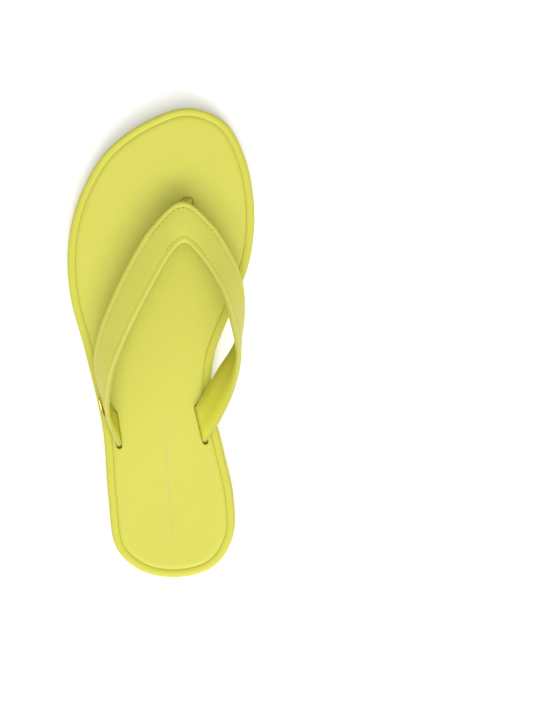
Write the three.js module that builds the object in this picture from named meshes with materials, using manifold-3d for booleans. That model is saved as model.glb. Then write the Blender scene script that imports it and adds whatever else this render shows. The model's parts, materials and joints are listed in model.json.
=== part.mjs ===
// A thong sandal (flip flop) for the left foot, in millimetres, +Z up.
// +X points to the big-toe side, +Y to the toe and +Z up; the origin is under the middle of the sole.
// The sole is a laminate in a tray, split at the ball of the foot where it flexes. A ribbon strap
// leaves the sole at two slots and meets a toe post, which is held by a washer under the insole board.

import * as THREE from 'three';
import { mergeVertices } from 'three/addons/utils/BufferGeometryUtils.js';
import Module from 'manifold-3d';

// ---- Driving dimensions ----

const SOLE_LENGTH = 258;
const BALL_WIDTH = 102.7;
const RIM_WIDTH = 4.4;           // top of the tray's wall, seen round the footbed
const OUTSOLE_THICKNESS = 4;
const MIDSOLE_THICKNESS = 10;    // under the insole board
const BOARD_THICKNESS = 1.5;
const FOAM_THICKNESS = 1.5;
const COVER_THICKNESS = 1;

const TREAD_DEPTH = 1.2;
const TREAD_GROOVE = 2.5;
const TREAD_PITCH = 9;
const TREAD_BORDER = 8;

const FLEX_LINE = 0.717;         // share of the length, from the heel, where the sole bends

const STRAP_WIDTH = 21;
const UPPER_THICKNESS = 1.1;
const TAPE_THICKNESS = 0.4;
const LINING_THICKNESS = 1;
const TAPE_MARGIN = 0.16;        // share of the ribbon's width left free at each edge
const FOLD_HEIGHT = 2;           // where the strap turns down into its slot, above the footbed

const POST_WIDTH = 6;
const POST_DEPTH = 4.4;
const POST_WALL = 0.8;
const POST_BOW = 1.2;            // how far the post bows forward between footbed and strap
const POST_STRAIGHT = 0.5;       // upright part of the post above the footbed
const WASHER_RADIUS = 7.5;
const WASHER_THICKNESS = 1;
const PLUG_RADIUS = 3.6;
const PLUG_THICKNESS = 1.5;
const PLUG_BEVEL = 0.6;

const TAB_THICKNESS = 1.8;
const TAB_OUTWARD = 3;           // from the slot's middle to the tab's outer edge
const TAB_INWARD = 14;           // and to its inner edge
const TAB_END_MARGIN = 1;        // past each end of the slot
const TAB_CORNER = 3;
const TACK_SHANK_RADIUS = 0.8;
const TACK_HEAD_RADIUS = 2.5;
const TACK_HEAD_THICKNESS = 0.7;
const TACK_POINT = 0.6;
const TACK_SPACING = 12;
const TACK_INWARD = 8.4;         // from the slot's middle to the tacks

const THREAD_RADIUS = 0.3;
const OUTER_SEAM_INSET = 3.8;    // stitch row to the strap's front edge
const INNER_SEAM_INSET = 3.4;    // stitch row to the strap's rear edge
const EMBLEM_LENGTH = 11.7;
const EMBLEM_WIDTH = 4.4;
const EMBLEM_THICKNESS = 0.8;

// ---- Clearances ----

const GAP = 0.3;                 // between neighbours that touch on the real shoe
const PLY_GAP = 0.2;             // cement line between the strap's plies
const SLOT_SIDE_GAP = 0.5;
const SLOT_END_GAP = 1.2;
const POST_GAP = 0.4;
const THREAD_GAP = 0.15;
const RECESS_GAP = 0.5;

// ---- Levels ----

const MIDSOLE_BOTTOM = OUTSOLE_THICKNESS;
const BOARD_BOTTOM = MIDSOLE_BOTTOM + MIDSOLE_THICKNESS;
const FOAM_BOTTOM = BOARD_BOTTOM + BOARD_THICKNESS;
const COVER_BOTTOM = FOAM_BOTTOM + FOAM_THICKNESS;
const FOOTBED = COVER_BOTTOM + COVER_THICKNESS;
const FLEX_Y = (FLEX_LINE - 0.5) * SOLE_LENGTH;

// ---- Outlines: shares of the ball width and of the sole length, clockwise from the toe ----

const SOLE_POINTS = [
  [0.156, 1.0], [0.345, 0.97], [0.452, 0.895], [0.502, 0.79], [0.48, 0.68], [0.378, 0.568],
  [0.285, 0.47], [0.276, 0.375], [0.335, 0.272], [0.39, 0.172], [0.388, 0.085], [0.29, 0.024],
  [0.11, 0.0], [-0.09, 0.011], [-0.235, 0.06], [-0.28, 0.17], [-0.31, 0.315], [-0.405, 0.48],
  [-0.485, 0.6], [-0.497, 0.705], [-0.44, 0.806], [-0.29, 0.909], [-0.06, 0.975],
];
const OUTLINE_STEPS = 92;

// The strap between its slots, over the toe post. Each station gives its front edge, as shares of
// the sole and a height above the footbed, and the way to its rear edge in strap widths.
const STRAP_STATIONS = [
  { front: [-0.312, 0.397, 4.4], across: [0.25, -0.6, 0.66] },
  { front: [-0.343, 0.461, 9], across: [0.45, -0.42, 0.76] },
  { front: [-0.315, 0.527, 12.4], across: [0.67, -0.3, 0.68] },
  { front: [-0.243, 0.6, 14.8], across: [0.71, -0.39, 0.59] },
  { front: [-0.154, 0.672, 15.4], across: [0.7, -0.48, 0.52] },
  { front: [-0.044, 0.742, 15.5], across: [0.55, -0.68, 0.4] },
  { front: [0.112, 0.796, 15.5], across: [0.09, -1.07, 0.3] },
  { front: [0.256, 0.757, 15], across: [-0.31, -0.84, 0.44] },
  { front: [0.358, 0.697, 14.5], across: [-0.44, -0.59, 0.64] },
  { front: [0.427, 0.632, 14], across: [-0.45, -0.36, 0.79] },
  { front: [0.438, 0.564, 12.6], across: [-0.26, -0.27, 0.91] },
  { front: [0.405, 0.5, 9.8], across: [0.07, -0.36, 0.9] },
  { front: [0.317, 0.447, 6.4], across: [0.34, -0.6, 0.66] },
  { front: [0.24, 0.399, 3.4], across: [0.38, -0.76, 0.42] },
];
// The slots: share of the sole's length where each begins, its length in strap widths, and the
// footbed left between it and the footbed's edge.
const SLOTS = {
  lateral: { side: -1, start: 0.353, reach: 0.905, web: 1.4 },
  medial: { side: 1, start: 0.366, reach: 0.95, web: 1.9 },
};
const APEX = 7 / (STRAP_STATIONS.length + 1);
const STRAP_ROWS = 60;
const STRAP_COLUMNS = 4;

const POST_FOOT = [0.144, 0.801];     // where the toe post leaves the footbed, in shares of the sole
const POST_SEAT = 0.24;               // how far across the strap it joins, from the front edge
const EMBLEM_PLACE = [0.055, 0.42];   // along the strap and across it
const OUTER_SEAM = [APEX - 0.1, APEX + 0.115];   // where the stitching runs along the strap
const INNER_SEAM = [APEX - 0.07, APEX + 0.085];

// ---- Mesh helpers ----

const wasm = await Module();
wasm.setup();

/** A closed geometry from points and triangles, turned inside out if its faces point in. */
function closedGeometry(points, triangles) {
  const edge = new THREE.Vector3();
  const volume = triangles.reduce((sum, [a, b, c]) =>
    sum + points[a].dot(edge.crossVectors(points[b], points[c])), 0);
  const order = volume < 0 ? triangles.map(([a, b, c]) => [a, c, b]) : triangles;
  const geometry = new THREE.BufferGeometry().setFromPoints(points);
  geometry.setIndex(order.flat());
  return geometry;
}

function toSolid(geometry) {
  const bare = geometry.clone();
  bare.deleteAttribute('normal');
  bare.deleteAttribute('uv');
  const merged = mergeVertices(bare, 1e-4);
  return new wasm.Manifold(new wasm.Mesh({
    numProp: 3,
    vertProperties: new Float32Array(merged.attributes.position.array),
    triVerts: new Uint32Array(merged.index.array),
  }));
}

function toGeometry(solid) {
  const mesh = solid.getMesh();
  const geometry = new THREE.BufferGeometry();
  geometry.setAttribute('position', new THREE.BufferAttribute(mesh.vertProperties, 3));
  geometry.setIndex(new THREE.BufferAttribute(mesh.triVerts, 1));
  return geometry;
}

function cut(geometry, ...cutters) {
  return toGeometry(cutters.reduce((solid, cutter) => solid.subtract(toSolid(cutter)), toSolid(geometry)));
}

/** A plate between two heights, with an outline of Vector2 points and holes of the same kind. */
function plate(outline, bottom, top, holes = []) {
  const shape = new THREE.Shape(outline);
  shape.holes = holes.map((points) => new THREE.Path(points));
  const geometry = new THREE.ExtrudeGeometry(shape, { depth: top - bottom, bevelEnabled: false });
  return geometry.translate(0, 0, bottom);
}

/** A closed slab between two grids of points with the same rows and columns. */
function slab(upper, lower) {
  const rows = upper.length;
  const columns = upper[0].length;
  const points = [...upper.flat(), ...lower.flat()];
  const index = (layer, row, column) => (layer * rows + row) * columns + column;
  const triangles = [];
  const quad = (a, b, c, d) => triangles.push([a, b, c], [a, c, d]);
  for (let r = 0; r < rows - 1; r++) {
    for (let c = 0; c < columns - 1; c++) {
      quad(index(0, r, c), index(0, r + 1, c), index(0, r + 1, c + 1), index(0, r, c + 1));
      quad(index(1, r, c), index(1, r, c + 1), index(1, r + 1, c + 1), index(1, r + 1, c));
    }
    quad(index(0, r, 0), index(1, r, 0), index(1, r + 1, 0), index(0, r + 1, 0));
    const last = columns - 1;
    quad(index(0, r, last), index(0, r + 1, last), index(1, r + 1, last), index(1, r, last));
  }
  for (let c = 0; c < columns - 1; c++) {
    quad(index(0, 0, c), index(0, 0, c + 1), index(1, 0, c + 1), index(1, 0, c));
    const last = rows - 1;
    quad(index(0, last, c), index(1, last, c), index(1, last, c + 1), index(0, last, c + 1));
  }
  return closedGeometry(points, triangles);
}

/** A closed bar through rings of points, with flat ends. */
function loft(rings) {
  const count = rings[0].length;
  const points = rings.flat();
  const triangles = [];
  for (let r = 0; r < rings.length - 1; r++) {
    for (let i = 0; i < count; i++) {
      const [a, b] = [r * count + i, r * count + (i + 1) % count];
      triangles.push([a, b, b + count], [a, b + count, a + count]);
    }
  }
  const last = (rings.length - 1) * count;
  for (let i = 1; i < count - 1; i++) {
    triangles.push([0, i + 1, i], [last, last + i, last + i + 1]);
  }
  return closedGeometry(points, triangles);
}

/** A closed wall between two lofts of rings, open at both ends. */
function sleeve(outer, inner) {
  const count = outer[0].length;
  const loop = [...outer, ...[...inner].reverse()];
  const triangles = [];
  for (let r = 0; r < loop.length; r++) {
    const next = (r + 1) % loop.length;
    for (let i = 0; i < count; i++) {
      const j = (i + 1) % count;
      triangles.push([r * count + i, r * count + j, next * count + j]);
      triangles.push([r * count + i, next * count + j, next * count + i]);
    }
  }
  return closedGeometry(loop.flat(), triangles);
}

// ---- The sole's plan ----

function planPoint([across, along]) {
  return new THREE.Vector2(across * BALL_WIDTH, (along - 0.5) * SOLE_LENGTH);
}

/** The sole's outline: a smooth closed curve, set exactly to its length and width. */
function soleOutline() {
  const knots = SOLE_POINTS.map(planPoint).map((p) => new THREE.Vector3(p.x, p.y, 0));
  const curve = new THREE.CatmullRomCurve3(knots, true, 'centripetal');
  const points = curve.getPoints(OUTLINE_STEPS).slice(0, -1);
  const box = new THREE.Box3().setFromPoints(points);
  const [middle, size] = [box.getCenter(new THREE.Vector3()), box.getSize(new THREE.Vector3())];
  return points.map((p) => new THREE.Vector2(
    (p.x - middle.x) * BALL_WIDTH / size.x, (p.y - middle.y) * SOLE_LENGTH / size.y));
}

/** A clockwise outline moved inwards by a distance. */
function inset(outline, distance) {
  return outline.map((point, i) => {
    const before = outline[(i + outline.length - 1) % outline.length];
    const after = outline[(i + 1) % outline.length];
    const along = new THREE.Vector2().subVectors(after, before).normalize();
    return new THREE.Vector2(point.x + along.y * distance, point.y - along.x * distance);
  });
}

/** A rectangle with round corners, its long side along a direction. */
function roundedBar(centre, direction, length, width, radius) {
  const shape = new THREE.Shape();
  const [x, y] = [length / 2 - radius, width / 2 - radius];
  shape.absarc(x, y, radius, 0, Math.PI / 2, false);
  shape.absarc(-x, y, radius, Math.PI / 2, Math.PI, false);
  shape.absarc(-x, -y, radius, Math.PI, 1.5 * Math.PI, false);
  shape.absarc(x, -y, radius, 1.5 * Math.PI, 2 * Math.PI, false);
  const points = shape.extractPoints(3).shape;
  return points.map((p) => p.rotateAround(new THREE.Vector2(), direction.angle()).add(centre));
}

function ellipse(centre, radiusX, radiusY, steps = 20) {
  return new THREE.EllipseCurve(centre.x, centre.y, radiusX, radiusY).getPoints(steps).slice(0, -1);
}

const OUTLINE = soleOutline();

/** How far across the sole's edge is at one place along it, on the side of +X (1) or -X (-1). */
function edgeAt(side, y) {
  const crossings = OUTLINE.flatMap((a, i) => {
    const b = OUTLINE[(i + 1) % OUTLINE.length];
    return (a.y - y) * (b.y - y) > 0 ? [] : [a.x + (b.x - a.x) * (y - a.y) / (b.y - a.y)];
  });
  return side > 0 ? Math.max(...crossings) : Math.min(...crossings);
}

const POCKET = inset(OUTLINE, RIM_WIDTH);
const FOOTBED_OUTLINE = inset(OUTLINE, RIM_WIDTH + GAP);

// ---- The strap's surface ----

const STRAP_THICKNESS = UPPER_THICKNESS + TAPE_THICKNESS + LINING_THICKNESS + 2 * PLY_GAP;
const STRAP_TOP = STRAP_THICKNESS / 2;
const TAPE_TOP = STRAP_TOP - UPPER_THICKNESS - PLY_GAP;
const LINING_BOTTOM = -STRAP_THICKNESS / 2;

/** The two corners of a strap end above its slot, a fixed way in from the sole's edge. */
function slotCorners({ side, start, reach, web }) {
  const inwards = RIM_WIDTH + GAP + web + SLOT_SIDE_GAP + STRAP_THICKNESS / 2;
  const front = (start - 0.5) * SOLE_LENGTH;
  return [front, front - reach * STRAP_WIDTH].map((y) =>
    new THREE.Vector3(edgeAt(side, y) - side * inwards, y, FOOTBED + FOLD_HEIGHT));
}

const stationFront = ({ front: [x, y, height] }) => {
  const p = planPoint([x, y]);
  return new THREE.Vector3(p.x, p.y, FOOTBED + height);
};
const stationRear = (station) =>
  stationFront(station).addScaledVector(new THREE.Vector3(...station.across), STRAP_WIDTH);
const [lateralFront, lateralRear] = slotCorners(SLOTS.lateral);
const [medialFront, medialRear] = slotCorners(SLOTS.medial);
const frontKnots = [lateralFront, ...STRAP_STATIONS.map(stationFront), medialFront];
const rearKnots = [lateralRear, ...STRAP_STATIONS.map(stationRear), medialRear];
const frontEdge = new THREE.CatmullRomCurve3(frontKnots, false, 'catmullrom', 0.5);
const rearEdge = new THREE.CatmullRomCurve3(rearKnots, false, 'catmullrom', 0.5);

/** A point in the middle of the strap's thickness: along from slot to slot, across front to rear. */
function strapPoint(along, across) {
  return frontEdge.getPoint(along).lerp(rearEdge.getPoint(along), across);
}

function strapNormal(along, across) {
  const step = 0.004;
  const ahead = strapPoint(Math.min(along + step, 1), across);
  const behind = strapPoint(Math.max(along - step, 0), across);
  const width = strapPoint(along, 1).sub(strapPoint(along, 0));
  return width.cross(ahead.sub(behind)).normalize();
}

const strapWidth = (along) => strapPoint(along, 0).distanceTo(strapPoint(along, 1));

/** Length along the strap for one whole step of its parameter. */
function strapReach(along, across) {
  const step = 0.01;
  return strapPoint(along + step, across).distanceTo(strapPoint(along - step, across)) / (2 * step);
}

function strapOffset(along, across, distance) {
  return strapPoint(along, across).addScaledVector(strapNormal(along, across), distance);
}

/** The strap's middle as rows of points, with its two ends straight down their slots. */
function strapMiddle(margin) {
  const shares = Array.from({ length: STRAP_COLUMNS + 1 }, (_, c) =>
    margin + (1 - 2 * margin) * c / STRAP_COLUMNS);
  const row = (along) => shares.map((across) => strapPoint(along, across));
  const slotRow = (along, height) => row(along).map((p) => p.setZ(height));
  const open = Array.from({ length: STRAP_ROWS + 1 }, (_, r) => row(r / STRAP_ROWS));
  return [slotRow(0, BOARD_BOTTOM), slotRow(0, FOOTBED), ...open,
    slotRow(1, FOOTBED), slotRow(1, BOARD_BOTTOM)];
}

/** The same rows moved off the middle, along each point's own normal. */
function strapSheet(middle, distance) {
  return middle.map((row, r) => row.map((point, c) => {
    const ahead = middle[Math.min(r + 1, middle.length - 1)][c];
    const behind = middle[Math.max(r - 1, 0)][c];
    const width = row[row.length - 1].clone().sub(row[0]);
    const normal = width.cross(ahead.clone().sub(behind)).normalize();
    return point.clone().addScaledVector(normal, distance);
  }));
}

function strapPly(top, bottom, margin = 0) {
  const middle = strapMiddle(margin);
  return slab(strapSheet(middle, top), strapSheet(middle, bottom));
}

// ---- Slots, recesses and the toe hole ----

/** Where one strap end goes through the footbed: its middle, direction and inward side. */
function anchor(along) {
  const [front, rear] = [strapPoint(along, 0), strapPoint(along, 1)];
  const direction = new THREE.Vector2(rear.x - front.x, rear.y - front.y);
  const length = direction.length();
  direction.normalize();
  const middle = new THREE.Vector2((front.x + rear.x) / 2, (front.y + rear.y) / 2);
  const inward = new THREE.Vector2(-direction.y, direction.x);
  if (inward.x * middle.x > 0) inward.negate();
  const at = (down, inside) => middle.clone()
    .addScaledVector(direction, down).addScaledVector(inward, inside);
  return { middle, direction, length, at };
}

const ANCHORS = { lateral: anchor(0), medial: anchor(1) };

function slotOutline({ middle, direction, length }) {
  const width = STRAP_THICKNESS + 2 * SLOT_SIDE_GAP;
  return roundedBar(middle, direction, length + 2 * SLOT_END_GAP, width, width / 2 - 0.01);
}

const TAB_LEVELS = [BOARD_BOTTOM - GAP - TAB_THICKNESS, BOARD_BOTTOM - GAP];
const TACK_HEAD_TOP = TAB_LEVELS[0] - GAP;
const TACK_HEAD_BOTTOM = TACK_HEAD_TOP - TACK_HEAD_THICKNESS;
const TACK_TIP = FOAM_BOTTOM - PLY_GAP;

function tabOutline({ at, direction, length }, margin = 0) {
  const middle = at(0, (TAB_INWARD - TAB_OUTWARD) / 2);
  const width = TAB_INWARD + TAB_OUTWARD + 2 * margin;
  return roundedBar(middle, direction, length + 2 * (TAB_END_MARGIN + margin), width, TAB_CORNER);
}

function tackPlaces({ at }) {
  return { front: at(-TACK_SPACING / 2, TACK_INWARD), rear: at(TACK_SPACING / 2, TACK_INWARD) };
}

function tackHoles(place) {
  const radius = TACK_SHANK_RADIUS + GAP;
  return Object.values(tackPlaces(place)).map((p) => ellipse(p, radius, radius, 8));
}

const TOE = planPoint(POST_FOOT);
const WASHER_TOP = BOARD_BOTTOM - GAP;
const WASHER_BOTTOM = WASHER_TOP - WASHER_THICKNESS;
const PLUG_TOP = WASHER_BOTTOM - GAP;
const PLUG_BOTTOM = PLUG_TOP - PLUG_THICKNESS;
const toeHole = () => ellipse(TOE, POST_WIDTH / 2 + POST_GAP, POST_DEPTH / 2 + POST_GAP);

// ---- Sole pieces, each made whole and then divided at the flex line ----

/** The heel part or the forefoot part of a sole layer. */
function sideOfFlexLine(geometry, forefoot) {
  const reach = 2 * SOLE_LENGTH;
  const edge = FLEX_Y + (forefoot ? GAP / 2 : -GAP / 2);
  const block = new THREE.BoxGeometry(reach, reach, reach);
  block.translate(0, edge + (forefoot ? reach / 2 : -reach / 2), 0);
  return toGeometry(toSolid(geometry).intersect(toSolid(block)));
}

/** Grooves across the sole's underside, an even pitch apart on both sides of the flex line. */
function treadGrooves() {
  const field = toSolid(plate(inset(OUTLINE, TREAD_BORDER), -1, TREAD_DEPTH));
  const end = SOLE_LENGTH / 2 - TREAD_BORDER;
  const first = FLEX_Y - TREAD_PITCH * (Math.floor((FLEX_Y + end) / TREAD_PITCH) - 0.5);
  const bars = [];
  for (let middle = first; middle < end; middle += TREAD_PITCH) {
    const bar = new THREE.BoxGeometry(2 * BALL_WIDTH, TREAD_GROOVE, 4 * TREAD_DEPTH);
    bars.push(toSolid(bar.translate(0, middle, 0)));
  }
  return toGeometry(bars.reduce((sum, bar) => sum.add(bar)).intersect(field));
}

function outsole() {
  return cut(plate(OUTLINE, 0, OUTSOLE_THICKNESS), treadGrooves());
}

/** A tray with a wall as high as the footbed, recessed for the strap's tabs and the washer. */
function midsole() {
  const body = plate(OUTLINE, MIDSOLE_BOTTOM, FOOTBED);
  const pocket = plate(POCKET, BOARD_BOTTOM, FOOTBED + 1);
  const tabs = Object.values(ANCHORS).map((place) =>
    plate(tabOutline(place, RECESS_GAP), TACK_HEAD_BOTTOM - GAP, BOARD_BOTTOM + 1));
  const radius = WASHER_RADIUS + RECESS_GAP;
  const washer = plate(ellipse(TOE, radius, radius), PLUG_BOTTOM - GAP, BOARD_BOTTOM + 1);
  return cut(body, pocket, ...tabs, washer);
}

function footbedLayer(bottom, top, extraHoles = []) {
  const holes = [...Object.values(ANCHORS).map(slotOutline), toeHole(), ...extraHoles];
  return plate(FOOTBED_OUTLINE, bottom, top, holes);
}

function insoleBoard() {
  return footbedLayer(BOARD_BOTTOM, FOAM_BOTTOM, Object.values(ANCHORS).flatMap(tackHoles));
}

// ---- Strap anchors ----

function anchorTab(place) {
  return plate(tabOutline(place), ...TAB_LEVELS, tackHoles(place));
}

/** A flat-headed tack, head down, with its shank up through the tab into the board. */
function anchorTack(place) {
  const profile = [
    [0, TACK_HEAD_BOTTOM], [TACK_HEAD_RADIUS, TACK_HEAD_BOTTOM], [TACK_HEAD_RADIUS, TACK_HEAD_TOP],
    [TACK_SHANK_RADIUS, TACK_HEAD_TOP], [TACK_SHANK_RADIUS, TACK_TIP - TACK_POINT], [0, TACK_TIP],
  ].map(([radius, height]) => new THREE.Vector2(radius, height));
  const tack = new THREE.LatheGeometry(profile, 12).rotateX(Math.PI / 2);
  return tack.translate(place.x, place.y, 0);
}

// ---- Toe post ----

/** A ring on the strap's underside, round the place where the post joins it. */
function seatRing(angles, radiusX, radiusY) {
  const perAlong = strapReach(APEX, POST_SEAT);
  const width = strapWidth(APEX);
  return angles.map((angle) => strapOffset(
    APEX + radiusX * Math.cos(angle) / perAlong,
    POST_SEAT - radiusY * Math.sin(angle) / width,
    LINING_BOTTOM - POST_GAP));
}

/** Rings up the post, from flat at its foot to the strap's underside where it joins. */
function postRings(radiusX, radiusY, bottom) {
  const angles = Array.from({ length: 16 }, (_, i) => i * Math.PI / 8);
  const seat = seatRing(angles, radiusX, radiusY);
  const flatRing = (height) => angles.map((angle) => new THREE.Vector3(
    TOE.x + radiusX * Math.cos(angle), TOE.y + radiusY * Math.sin(angle), height));
  const mouth = flatRing(FOOTBED + POST_STRAIGHT);
  const steps = 8;
  const rise = Array.from({ length: steps }, (_, i) => {
    const share = (i + 1) / steps;
    const bow = POST_BOW * Math.sin(Math.PI * share);
    return mouth.map((p, k) => p.clone().lerp(seat[k], share).add(new THREE.Vector3(0, bow, 0)));
  });
  return [flatRing(bottom), mouth, ...rise];
}

function toePostCover() {
  const outer = postRings(POST_WIDTH / 2, POST_DEPTH / 2, BOARD_BOTTOM);
  const inner = postRings(POST_WIDTH / 2 - POST_WALL, POST_DEPTH / 2 - POST_WALL, BOARD_BOTTOM);
  return sleeve(outer, inner);
}

const CORE_RADII = [POST_WIDTH / 2 - POST_WALL - GAP, POST_DEPTH / 2 - POST_WALL - GAP];

function toePostCore() {
  return loft(postRings(...CORE_RADII, WASHER_BOTTOM));
}

function toePostWasher() {
  const hole = ellipse(TOE, CORE_RADII[0] + GAP, CORE_RADII[1] + GAP, 16);
  return plate(ellipse(TOE, WASHER_RADIUS, WASHER_RADIUS, 24), WASHER_BOTTOM, WASHER_TOP, [hole]);
}

/** The heat-set end of the post's core, a bevelled button under the washer. */
function toePostPlug() {
  const profile = [
    [0, PLUG_BOTTOM], [PLUG_RADIUS - PLUG_BEVEL, PLUG_BOTTOM], [PLUG_RADIUS, PLUG_BOTTOM + PLUG_BEVEL],
    [PLUG_RADIUS, PLUG_TOP], [0, PLUG_TOP],
  ].map(([radius, height]) => new THREE.Vector2(radius, height));
  return new THREE.LatheGeometry(profile, 16).rotateX(Math.PI / 2).translate(TOE.x, TOE.y, 0);
}

// ---- Stitching and emblem ----

/** A thread laid on the strap's top at a fixed distance from one edge, round the apex. */
function seam([from, to], insetFromEdge, fromRear) {
  const steps = 24;
  const height = STRAP_TOP + THREAD_GAP + THREAD_RADIUS;
  const places = Array.from({ length: steps + 1 }, (_, i) => {
    const along = from + (to - from) * i / steps;
    const share = insetFromEdge / strapWidth(along);
    const across = fromRear ? 1 - share : share;
    return { centre: strapOffset(along, across, height), normal: strapNormal(along, across) };
  });
  const rings = places.map(({ centre, normal }, i) => {
    const ahead = places[Math.min(i + 1, steps)].centre;
    const behind = places[Math.max(i - 1, 0)].centre;
    const side = ahead.clone().sub(behind).normalize().cross(normal).normalize();
    return Array.from({ length: 6 }, (_, k) => centre.clone()
      .addScaledVector(side, THREAD_RADIUS * Math.cos(k * Math.PI / 3))
      .addScaledVector(normal, THREAD_RADIUS * Math.sin(k * Math.PI / 3)));
  });
  return loft(rings);
}

/** A plain metal plate that follows the strap's outer face near the outer slot. */
function emblemPlate() {
  const [along, across] = EMBLEM_PLACE;
  const halfAlong = EMBLEM_LENGTH / 2 / strapReach(along, across);
  const halfAcross = EMBLEM_WIDTH / 2 / strapWidth(along);
  const sheet = (distance) => Array.from({ length: 7 }, (_, r) => Array.from({ length: 4 }, (_, c) =>
    strapOffset(along + halfAlong * (r / 3 - 1), across + halfAcross * (c / 1.5 - 1), distance)));
  return slab(sheet(STRAP_TOP + GAP + EMBLEM_THICKNESS), sheet(STRAP_TOP + GAP));
}

// ---- Materials ----

const material = (color, roughness, metalness = 0) =>
  new THREE.MeshStandardMaterial({ color, roughness, metalness });

const materials = {
  rubber: material(0xd3d14f, 0.75),
  eva: material(0xdedb5c, 0.6),
  board: material(0xb9a27c, 0.9),
  foam: material(0xe6e39a, 0.85),
  cover: material(0xdfdc64, 0.55),
  upper: material(0xd9d763, 0.45),
  lining: material(0xc4c22e, 0.6),
  tape: material(0xe9e7dc, 0.9),
  thread: material(0xc2bf3a, 0.7),
  washer: material(0xc9c9c4, 0.5),
  steel: material(0xb8bcc0, 0.35, 1),
  emblem: material(0xc9a45c, 0.3, 1),
};

// ---- Assembly ----

const flipFlop = new THREE.Group();

function add(name, geometry, finish) {
  const mesh = new THREE.Mesh(geometry, materials[finish]);
  mesh.name = name;
  flipFlop.add(mesh);
}

const SOLE_LAYERS = {
  outsole: [outsole(), 'rubber'],
  midsole: [midsole(), 'eva'],
  insole_board: [insoleBoard(), 'board'],
  footbed_foam: [footbedLayer(FOAM_BOTTOM, COVER_BOTTOM), 'foam'],
  footbed_cover: [footbedLayer(COVER_BOTTOM, FOOTBED), 'cover'],
};
for (const [layer, [geometry, finish]] of Object.entries(SOLE_LAYERS)) {
  add(`${layer}_heel`, sideOfFlexLine(geometry, false), finish);
  add(`${layer}_forefoot`, sideOfFlexLine(geometry, true), finish);
}

add('strap_upper', strapPly(STRAP_TOP, STRAP_TOP - UPPER_THICKNESS), 'upper');
add('strap_reinforcement_tape', strapPly(TAPE_TOP, TAPE_TOP - TAPE_THICKNESS, TAPE_MARGIN), 'tape');
add('strap_lining', strapPly(LINING_BOTTOM + LINING_THICKNESS, LINING_BOTTOM), 'lining');
for (const [side, place] of Object.entries(ANCHORS)) {
  add(`${side}_anchor_tab`, anchorTab(place), 'upper');
  for (const [end, spot] of Object.entries(tackPlaces(place))) {
    add(`${side}_anchor_tack_${end}`, anchorTack(spot), 'steel');
  }
}

add('toe_post_cover', toePostCover(), 'upper');
add('toe_post_core', toePostCore(), 'tape');
add('toe_post_washer', toePostWasher(), 'washer');
add('toe_post_plug', toePostPlug(), 'washer');

add('outer_apex_stitching', seam(OUTER_SEAM, OUTER_SEAM_INSET, false), 'thread');
add('inner_apex_stitching', seam(INNER_SEAM, INNER_SEAM_INSET, true), 'thread');
add('emblem_plate', emblemPlate(), 'emblem');

export default flipFlop;
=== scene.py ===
"""A left-foot thong sandal in lime leatherette, lying on a white floor and seen from straight above.

Lengths are in millimetres until a mesh is written; +X is the big-toe side, +Y the toe, +Z up.
"""

import json
import math

import bpy
import numpy as np
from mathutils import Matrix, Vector
from mathutils.geometry import delaunay_2d_cdt


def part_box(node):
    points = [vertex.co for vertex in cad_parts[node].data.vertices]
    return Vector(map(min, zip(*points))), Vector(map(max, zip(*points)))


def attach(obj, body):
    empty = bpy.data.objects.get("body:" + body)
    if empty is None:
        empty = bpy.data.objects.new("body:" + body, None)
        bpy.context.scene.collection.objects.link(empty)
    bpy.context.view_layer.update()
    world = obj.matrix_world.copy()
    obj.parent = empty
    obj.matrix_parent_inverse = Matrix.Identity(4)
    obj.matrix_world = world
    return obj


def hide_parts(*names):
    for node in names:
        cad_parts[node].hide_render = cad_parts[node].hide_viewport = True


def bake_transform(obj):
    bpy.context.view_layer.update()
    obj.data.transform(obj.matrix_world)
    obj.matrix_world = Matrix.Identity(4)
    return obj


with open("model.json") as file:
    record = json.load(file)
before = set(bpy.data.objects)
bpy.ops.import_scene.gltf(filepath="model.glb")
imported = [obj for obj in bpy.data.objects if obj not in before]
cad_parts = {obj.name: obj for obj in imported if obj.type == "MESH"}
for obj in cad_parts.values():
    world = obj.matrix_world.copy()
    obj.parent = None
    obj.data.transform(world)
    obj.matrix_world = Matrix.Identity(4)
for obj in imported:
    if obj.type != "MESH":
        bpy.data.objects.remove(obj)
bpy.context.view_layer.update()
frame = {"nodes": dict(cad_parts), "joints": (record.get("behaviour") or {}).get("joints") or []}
MM = 0.001

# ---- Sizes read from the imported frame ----


def node_box(*nodes):
    """Lowest and highest corner of some CAD nodes together, in millimetres."""
    corners = np.array([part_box(n) for n in nodes]) / MM
    return corners[:, 0].min(0), corners[:, 1].max(0)


sole_low, sole_high = node_box("midsole_heel", "midsole_forefoot")
SOLE_LENGTH = sole_high[1] - sole_low[1]
BALL_WIDTH = sole_high[0] - sole_low[0]
OUTSOLE_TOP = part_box("outsole_heel")[1].z / MM
BOARD_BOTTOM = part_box("insole_board_heel")[0].z / MM
FOAM_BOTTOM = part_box("footbed_foam_heel")[0].z / MM
COVER_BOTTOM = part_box("footbed_cover_heel")[0].z / MM
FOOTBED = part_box("footbed_cover_heel")[1].z / MM
TACK_CLEARANCE = 0.3  # between a tack's point and the tray's floor
RECESS_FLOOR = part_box("lateral_anchor_tack_front")[0].z / MM - TACK_CLEARANCE
FLEX_Y = frame["joints"][0]["pos_m"][1] / MM

# ---- Sizes shared with the CAD source ----

RIM_WIDTH = 4.4  # the tray's domed rim round the footbed
GAP = 0.3  # between the rim and the footbed's layers
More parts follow.
